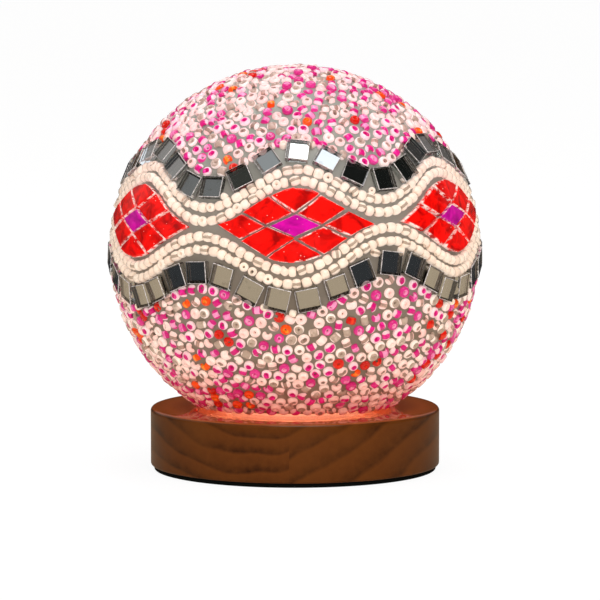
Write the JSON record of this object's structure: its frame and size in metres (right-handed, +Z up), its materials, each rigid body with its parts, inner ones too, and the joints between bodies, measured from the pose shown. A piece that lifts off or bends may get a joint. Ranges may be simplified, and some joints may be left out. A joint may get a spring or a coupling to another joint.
{
  "type": "mosaic glass table lamp",
  "caption": "Mosaic glass globe table lamp: glass globe set with beads, mirror tiles and red lozenges, on a round dark wooden base with a rechargeable LED light.",
  "frame": {"origin": "middle of the underside of the base pad, where the lamp rests", "axes": "+Z up through the globe's pole; -Y is the front, where a lozenge faces; +Y is the back, with the charging inlet and the button; +X is to the right seen from the front"},
  "size_m": [0.1295, 0.13, 0.1418],
  "materials": {
    "dark_wood": "turned pine stained dark walnut, satin lacquer",
    "black_foam": "matt anti-slip foam",
    "black_plastic": "fine matt texture",
    "steel": "bright zinc",
    "green_board": "solder mask",
    "white_board": "white solder mask",
    "led_face": "yellow phosphor, lit",
    "opal": "opal diffusing, lit",
    "silicone": "matt",
    "clear_glass": "blown, clear",
    "grey_bed": "smooth set adhesive",
    "pink_bead": "clear glass with a pink or white lining",
    "ivory_bead": "pearl ivory glass",
    "mirror_tile": "cut mirror glass",
    "red_glass": "wavy cathedral glass",
    "magenta_glass": "wavy cathedral glass",
    "battery_foil": "laminated pouch",
    "foam_tape": "matt",
    "red_wire": "silicone insulation",
    "black_wire": "silicone insulation"
  },
  "bodies": {
    "base": {"wood_base": "dark_wood", "base_pad": "black_foam", "bottom_cover": "black_plastic", "cover_screw_1": "steel", "cover_screw_2": "steel", "cover_screw_3": "steel", "cover_screw_4": "steel", "rear_plate": "black_plastic", "charge_board": "green_board", "charge_board_screw_1": "steel", "charge_board_screw_2": "steel", "usb_c_socket": "steel", "switch_body": "black_plastic", "battery": "battery_foil", "battery_tape": "foam_tape", "battery_wire_red": "red_wire", "battery_wire_black": "black_wire", "led_wire_red": "red_wire", "led_wire_black": "black_wire", "led_board": "white_board", "led_board_screw_1": "steel", "led_board_screw_2": "steel", "led_1": "led_face", "led_2": "led_face", "led_3": "led_face", "led_4": "led_face", "led_5": "led_face", "led_6": "led_face", "diffuser": "opal", "neck_ring": "silicone"},
    "globe": {"glass_globe": "clear_glass", "adhesive_bed": "grey_bed", "bead_field_upper": "pink_bead", "bead_field_lower": "pink_bead", "mirror_band_upper": "mirror_tile", "mirror_band_lower": "mirror_tile", "bead_row_upper_outer": "ivory_bead", "bead_row_upper_inner": "ivory_bead", "bead_row_lower_inner": "ivory_bead", "bead_row_lower_outer": "ivory_bead", "lozenge_red_tiles_1": "red_glass", "lozenge_red_tiles_2": "red_glass", "lozenge_red_tiles_3": "red_glass", "lozenge_red_tiles_4": "red_glass", "lozenge_red_tiles_5": "red_glass", "lozenge_red_tiles_6": "red_glass", "lozenge_centre_tile_1": "magenta_glass", "lozenge_centre_tile_2": "magenta_glass", "lozenge_centre_tile_3": "magenta_glass", "lozenge_centre_tile_4": "magenta_glass", "lozenge_centre_tile_5": "magenta_glass", "lozenge_centre_tile_6": "magenta_glass"},
    "button": {"power_button": "black_plastic"}
  },
  "joints": [
    {"name": "globe_lift", "type": "slide", "parent": "base", "child": "globe", "axis": [0, 0, 1], "range_m": [0, 0.06]},
    {"name": "power_button_press", "type": "slide", "parent": "base", "child": "button", "axis": [0, -1, 0], "range_m": [0, 0.0008], "stiffness_N_per_m": 600, "springref_m": -0.0005}
  ]
}
